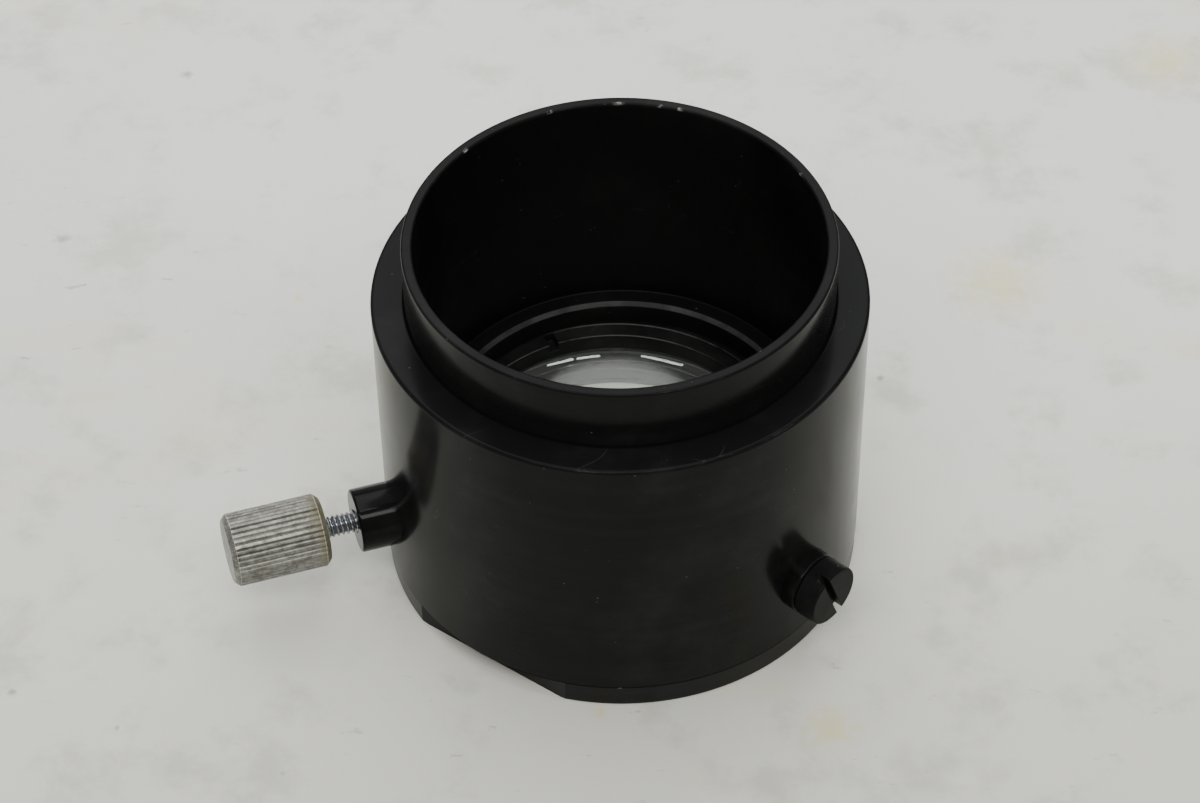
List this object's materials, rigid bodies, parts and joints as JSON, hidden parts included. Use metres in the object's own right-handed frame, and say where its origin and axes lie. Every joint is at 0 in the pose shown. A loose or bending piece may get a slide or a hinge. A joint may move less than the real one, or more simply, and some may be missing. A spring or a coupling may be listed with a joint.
{
  "type": "telescope eyepiece",
  "caption": "Black telescope eyepiece body with a push-in tube socket on top and a lens cell inside, centred by a knurled thumbscrew against slotted screws.",
  "frame": {"origin": "on the barrel's axis, at the foot of the base ring where it stands on a table", "axes": "+Z is the barrel's axis, up towards the socket's open rim; +X points right as seen from the side where the thumbscrew is on the left, and -Y faces that viewer. The thumbscrew is at azimuth 197.4 degrees, the slotted screws at 317.4 and 77.4"},
  "size_m": [0.0825, 0.0669, 0.0517],
  "materials": {
    "barrel_black": "satin black anodised",
    "ring_black": "satin black anodised",
    "boss_black": "gloss black anodised",
    "cell_black": "matt black anodised",
    "glass": "polished optical glass",
    "knob_aluminium": "dull, straight knurled",
    "stud_steel": "zinc plated thread",
    "nylon": "natural nylon",
    "screw_black": "black oxide"
  },
  "bodies": {
    "barrel": {"outer_barrel": "barrel_black", "base_ring": "ring_black", "thumb_boss": "boss_black", "right_boss": "boss_black", "rear_boss": "boss_black"},
    "cell": {"lens_cell": "cell_black", "field_lens": "glass", "lens_spacer": "cell_black", "flint_lens": "glass", "crown_lens": "glass", "retaining_ring": "cell_black"},
    "thumb_plug": {"thumb_plug": "nylon"},
    "thumb_screw": {"thumb_knob": "knob_aluminium", "thumb_stud": "stud_steel"},
    "right_plug": {"right_plug": "nylon"},
    "right_screw": {"right_screw": "screw_black"},
    "rear_plug": {"rear_plug": "nylon"},
    "rear_screw": {"rear_screw": "screw_black"}
  },
  "joints": [
    {"name": "cell_centring", "type": "slide", "parent": "barrel", "child": "cell", "axis": [-0.9542, -0.299, 0], "range_m": [-0.00084, 0.0005]},
    {"name": "thumb_advance", "type": "slide", "parent": "barrel", "child": "thumb_plug", "axis": [-0.9542, -0.299, 0], "range_m": [-0.00084, 0.0005]},
    {"name": "thumb_turn", "type": "hinge", "parent": "thumb_plug", "child": "thumb_screw", "pos_m": [-0.0439, -0.01376, 0.01285], "axis": [-0.9542, -0.299, 0], "range_deg": [-477, 284]},
    {"name": "right_advance", "type": "slide", "parent": "barrel", "child": "right_plug", "axis": [0.7361, -0.6769, 0], "range_m": [-0.00015, 0.002]},
    {"name": "right_turn", "type": "hinge", "parent": "right_plug", "child": "right_screw", "pos_m": [0.0254, -0.02335, 0.01285], "axis": [0.7361, -0.6769, 0], "range_deg": [-86, 1134]},
    {"name": "rear_advance", "type": "slide", "parent": "barrel", "child": "rear_plug", "axis": [0.2181, 0.9759, 0], "range_m": [-0.00015, 0.002]},
    {"name": "rear_turn", "type": "hinge", "parent": "rear_plug", "child": "rear_screw", "pos_m": [0.00753, 0.03367, 0.01285], "axis": [0.2181, 0.9759, 0], "range_deg": [-86, 1134]}
  ],
  "couplings": [
    {"joint": "thumb_turn", "follows": "thumb_advance", "rad_per_m": 9894.8},
    {"joint": "cell_centring", "follows": "thumb_advance", "ratio": 1},
    {"joint": "right_turn", "follows": "right_advance", "rad_per_m": 9894.8},
    {"joint": "rear_turn", "follows": "rear_advance", "rad_per_m": 9894.8}
  ]
}
